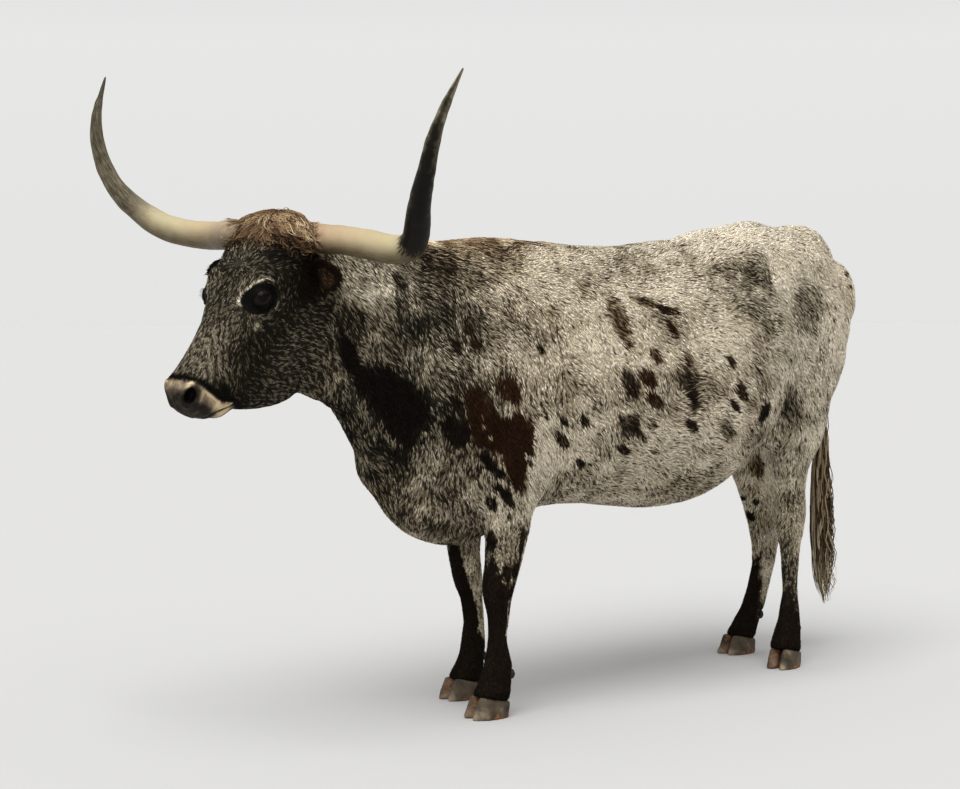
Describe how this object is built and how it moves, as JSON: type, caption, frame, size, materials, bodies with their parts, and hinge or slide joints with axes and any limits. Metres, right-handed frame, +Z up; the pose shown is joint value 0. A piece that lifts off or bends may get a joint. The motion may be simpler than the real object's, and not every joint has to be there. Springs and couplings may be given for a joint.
{
  "type": "texas longhorn cow figure",
  "caption": "Standing longhorn cow with long sideways horns that bend upwards, a still life-size animal figure for display on a floor.",
  "frame": {"origin": "middle of the whole figure's footprint box, on the floor", "axes": "+Z up, the animal faces -Y, its left side is +X"},
  "size_m": [1.2998, 2.5754, 1.7369],
  "materials": {
    "roan_hide": "short grey and cream roan coat",
    "dark_hide": "short dark roan coat",
    "switch_hair": "long wavy tan hair",
    "horn": "satin ivory horn with dark tips",
    "claw": "dull grey horn with dried mud",
    "eye": "wet gloss"
  },
  "bodies": {
    "root": {"head": "dark_hide", "neck": "dark_hide", "trunk": "roan_hide", "tail": "roan_hide", "tail_switch": "switch_hair", "leg_fore_left": "roan_hide", "leg_fore_right": "roan_hide", "leg_hind_left": "roan_hide", "leg_hind_right": "roan_hide", "ear_left": "dark_hide", "ear_right": "dark_hide", "eye_left": "eye", "eye_right": "eye", "horn_left": "horn", "horn_right": "horn", "claw_fore_left_outer": "claw", "claw_fore_left_inner": "claw", "claw_fore_right_outer": "claw", "claw_fore_right_inner": "claw", "claw_hind_left_outer": "claw", "claw_hind_left_inner": "claw", "claw_hind_right_outer": "claw", "claw_hind_right_inner": "claw", "dewclaw_fore_left_outer": "claw", "dewclaw_fore_left_inner": "claw", "dewclaw_fore_right_outer": "claw", "dewclaw_fore_right_inner": "claw", "dewclaw_hind_left_outer": "claw", "dewclaw_hind_left_inner": "claw", "dewclaw_hind_right_outer": "claw", "dewclaw_hind_right_inner": "claw"}
  },
  "joints": []
}
